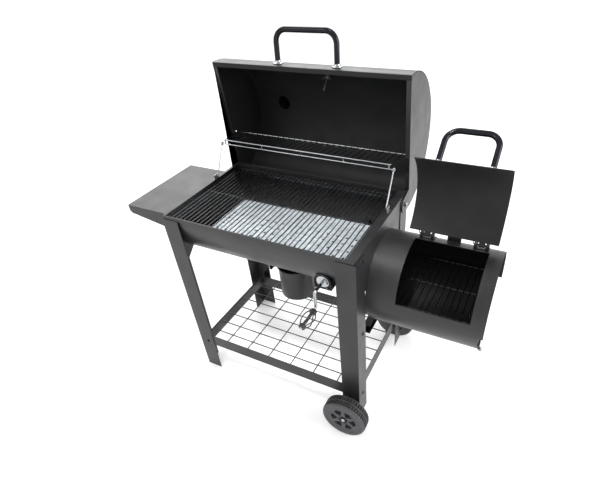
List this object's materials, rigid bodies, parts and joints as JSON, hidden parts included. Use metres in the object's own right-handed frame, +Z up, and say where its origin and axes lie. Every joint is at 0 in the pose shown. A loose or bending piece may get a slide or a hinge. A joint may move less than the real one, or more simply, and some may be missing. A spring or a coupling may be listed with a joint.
{
  "type": "offset smoker",
  "caption": "Half-barrel charcoal grill and smoker on an angle-leg cart with wheels, a side firebox, opening lid and hatch, cranked coal tray, warming rack, side table and wire shelf.",
  "frame": {"origin": "centre of the bounding box at floor level", "axes": "+X towards the firebox, +Y to the back, +Z up"},
  "size_m": [1.141, 0.9052, 1.1225],
  "materials": {
    "steel_paint": "satin black heat-resistant paint",
    "dark_paint": "matt black paint",
    "enamel": "black enamel",
    "chrome": "bright plated",
    "galvanised": "galvanised sheet",
    "rubber": "matt black rubber",
    "hub_plastic": "moulded dark plastic",
    "zinc": "zinc plated"
  },
  "bodies": {
    "cart": {"tub_shell": "steel_paint", "tub_end_left": "steel_paint", "tub_end_right": "steel_paint", "leg_front_left": "steel_paint", "leg_rear_left": "steel_paint", "leg_front_right": "steel_paint", "leg_rear_right": "steel_paint", "side_table": "steel_paint", "shelf_rail_front": "steel_paint", "shelf_rail_left": "steel_paint", "shelf_rail_right": "steel_paint", "shelf_rail_rear": "steel_paint", "firebox_upper_shell": "steel_paint", "firebox_lower_shell": "steel_paint", "firebox_end_left": "steel_paint", "firebox_end_right": "steel_paint", "hatch_stop": "steel_paint", "crank_bracket": "dark_paint", "ash_collar": "dark_paint", "bucket_rail_left": "dark_paint", "bucket_rail_right": "dark_paint", "shelf_mesh": "dark_paint", "firebox_support": "dark_paint", "firebox_grate": "enamel", "crank_washer": "chrome", "lid_stop_left": "rubber", "lid_stop_right": "rubber", "lid_bolt_left": "zinc", "lid_bolt_right": "zinc", "rack_bracket_left": "zinc", "rack_bracket_right": "zinc", "axle": "zinc", "hatch_hinge_left": "zinc", "hatch_hinge_right": "zinc"},
    "lid": {"lid_shell": "steel_paint", "lid_end_left": "steel_paint", "lid_end_right": "steel_paint", "lid_handle": "chrome", "chimney": "steel_paint", "thermometer": "chrome"},
    "chimney_damper": {"chimney_cap": "steel_paint"},
    "rack_legs": {"rack_leg_left": "chrome", "rack_leg_right": "chrome"},
    "rack": {"rack_grid": "chrome"},
    "hatch": {"hatch": "steel_paint", "hatch_handle": "chrome"},
    "crank": {"crank_rod": "chrome", "crank_grip": "dark_paint"},
    "coal_tray": {"coal_tray_left": "galvanised", "coal_tray_right": "galvanised", "tray_frame": "dark_paint"},
    "air_damper": {"firebox_damper": "steel_paint"},
    "bucket": {"ash_bucket": "steel_paint"},
    "grate_left": {"cooking_grate_left": "enamel"},
    "grate_right": {"cooking_grate_right": "enamel"},
    "wheel_front": {"wheel_tyre_front": "rubber", "wheel_hub_front": "hub_plastic"},
    "wheel_rear": {"wheel_tyre_rear": "rubber", "wheel_hub_rear": "hub_plastic"}
  },
  "joints": [
    {"name": "lid_hinge", "type": "hinge", "parent": "cart", "child": "lid", "pos_m": [-0.07655, 0.03494, 0.641], "axis": [1, 0, 0], "range_deg": [0, 85]},
    {"name": "chimney_cap_pin", "type": "hinge", "parent": "lid", "child": "chimney_damper", "pos_m": [-0.33355, 0.4471, 0.85223], "axis": [0, 0.9962, 0.0872], "range_deg": [0, 100]},
    {"name": "rack_foot", "type": "hinge", "parent": "cart", "child": "rack_legs", "pos_m": [-0.07655, -0.07756, 0.684], "axis": [1, 0, 0], "range_deg": [0, 71.2]},
    {"name": "rack_joint", "type": "hinge", "parent": "rack_legs", "child": "rack", "pos_m": [-0.07655, -0.02056, 0.779], "axis": [1, 0, 0], "range_deg": [-59.7, 0]},
    {"name": "hatch_hinge", "type": "hinge", "parent": "cart", "child": "hatch", "pos_m": [0.43345, -0.10156, 0.642], "axis": [1, 0, 0], "range_deg": [0, 126]},
    {"name": "crank_turn", "type": "hinge", "parent": "cart", "child": "crank", "pos_m": [0.13445, -0.13956, 0.564], "axis": [0, 1, 0], "range_deg": [0, 180]},
    {"name": "tray_lift", "type": "slide", "parent": "cart", "child": "coal_tray", "axis": [0, 0, 1], "range_m": [0, 0.04]},
    {"name": "air_damper_pin", "type": "hinge", "parent": "cart", "child": "air_damper", "pos_m": [0.55445, -0.18456, 0.447], "axis": [1, 0, 0], "range_deg": [0, 60]},
    {"name": "bucket_slide", "type": "slide", "parent": "cart", "child": "bucket", "axis": [0, -1, 0], "range_m": [0, 0.16]},
    {"name": "grate_left_lift", "type": "slide", "parent": "cart", "child": "grate_left", "axis": [0.7071, 0, 0.7071], "range_m": [0, 0.05]},
    {"name": "grate_right_lift", "type": "slide", "parent": "cart", "child": "grate_right", "axis": [0, 0, 1], "range_m": [0, 0.07]},
    {"name": "wheel_front_spin", "type": "hinge", "parent": "cart", "child": "wheel_front", "pos_m": [0.21445, -0.38206, 0.075], "axis": [0, 1, 0], "continuous": true},
    {"name": "wheel_rear_spin", "type": "hinge", "parent": "cart", "child": "wheel_rear", "pos_m": [0.21445, 0.10294, 0.075], "axis": [0, 1, 0], "continuous": true}
  ],
  "couplings": [
    {"joint": "rack_foot", "follows": "lid_hinge", "ratio": 0.83529},
    {"joint": "rack_joint", "follows": "lid_hinge", "ratio": -0.7},
    {"joint": "tray_lift", "follows": "crank_turn", "m_per_rad": 0.012732}
  ]
}
